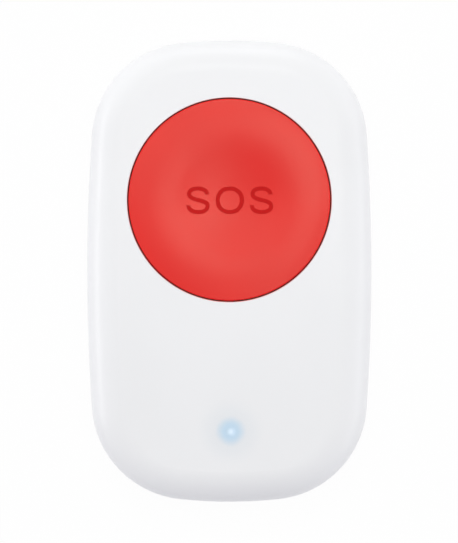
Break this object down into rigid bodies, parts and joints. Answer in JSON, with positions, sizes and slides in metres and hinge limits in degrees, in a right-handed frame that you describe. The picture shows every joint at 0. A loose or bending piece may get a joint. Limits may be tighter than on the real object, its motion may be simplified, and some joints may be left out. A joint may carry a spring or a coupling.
{
  "type": "wireless panic button",
  "caption": "Pocket-size wireless panic button: rounded two-part housing, large dished push button, status light and coin cell behind a twist-off door.",
  "frame": {"origin": "middle of the flat back face", "axes": "+Z out of the front face, +Y along the housing towards the button's end, +X across it"},
  "size_m": [0.053, 0.086, 0.0152],
  "materials": {
    "housing": "fine satin, warm-free white",
    "button": "satin signal red",
    "light_pipe": "clear, polished",
    "board": "satin solder mask",
    "module_board": "satin black solder mask",
    "shield_metal": "plated sheet",
    "screw_steel": "zinc plated",
    "switch_plastic": "black moulding",
    "plunger_plastic": "ivory moulding",
    "switch_steel": "stamped sheet",
    "tinned_metal": "tinned",
    "lamp_package": "white package, clear lens",
    "capacitor_case": "moulded case",
    "chip_ceramic": "ceramic",
    "chip_black": "coated ceramic",
    "contact_metal": "plated spring strip",
    "cell_steel": "nickel-plated can",
    "seal_rubber": "smooth rubber cord"
  },
  "bodies": {
    "housing": {"front_shell": "housing", "rear_cover": "housing", "light_pipe": "light_pipe", "circuit_board": "board", "radio_module": "module_board", "radio_shield": "shield_metal", "cover_screws": "screw_steel", "board_screws": "screw_steel", "switch_base": "switch_plastic", "switch_cover": "switch_steel", "switch_dome": "switch_steel", "switch_leads": "tinned_metal", "status_lamp": "lamp_package", "bulk_capacitor": "capacitor_case", "chip_capacitors": "chip_ceramic", "chip_resistors": "chip_black", "battery_positive_contact": "contact_metal", "battery_negative_contact": "contact_metal"},
    "call_button": {"button_cap": "button"},
    "plunger": {"switch_plunger": "plunger_plastic"},
    "door": {"battery_door": "housing", "door_seal": "seal_rubber", "coin_cell": "cell_steel"}
  },
  "joints": [
    {"name": "button_press", "type": "slide", "parent": "housing", "child": "call_button", "axis": [0, 0, -1], "range_m": [0, 0.0004], "stiffness_N_per_m": 1500, "springref_m": -0.001},
    {"name": "plunger_travel", "type": "slide", "parent": "housing", "child": "plunger", "axis": [0, 0, -1], "range_m": [0, 0.0004], "deforming": ["switch_dome"]},
    {"name": "door_twist", "type": "hinge", "parent": "housing", "child": "door", "pos_m": [0, -0.012, 0], "axis": [0, 0, -1], "range_deg": [0, 50]}
  ],
  "couplings": [
    {"joint": "plunger_travel", "follows": "button_press", "ratio": 1}
  ]
}
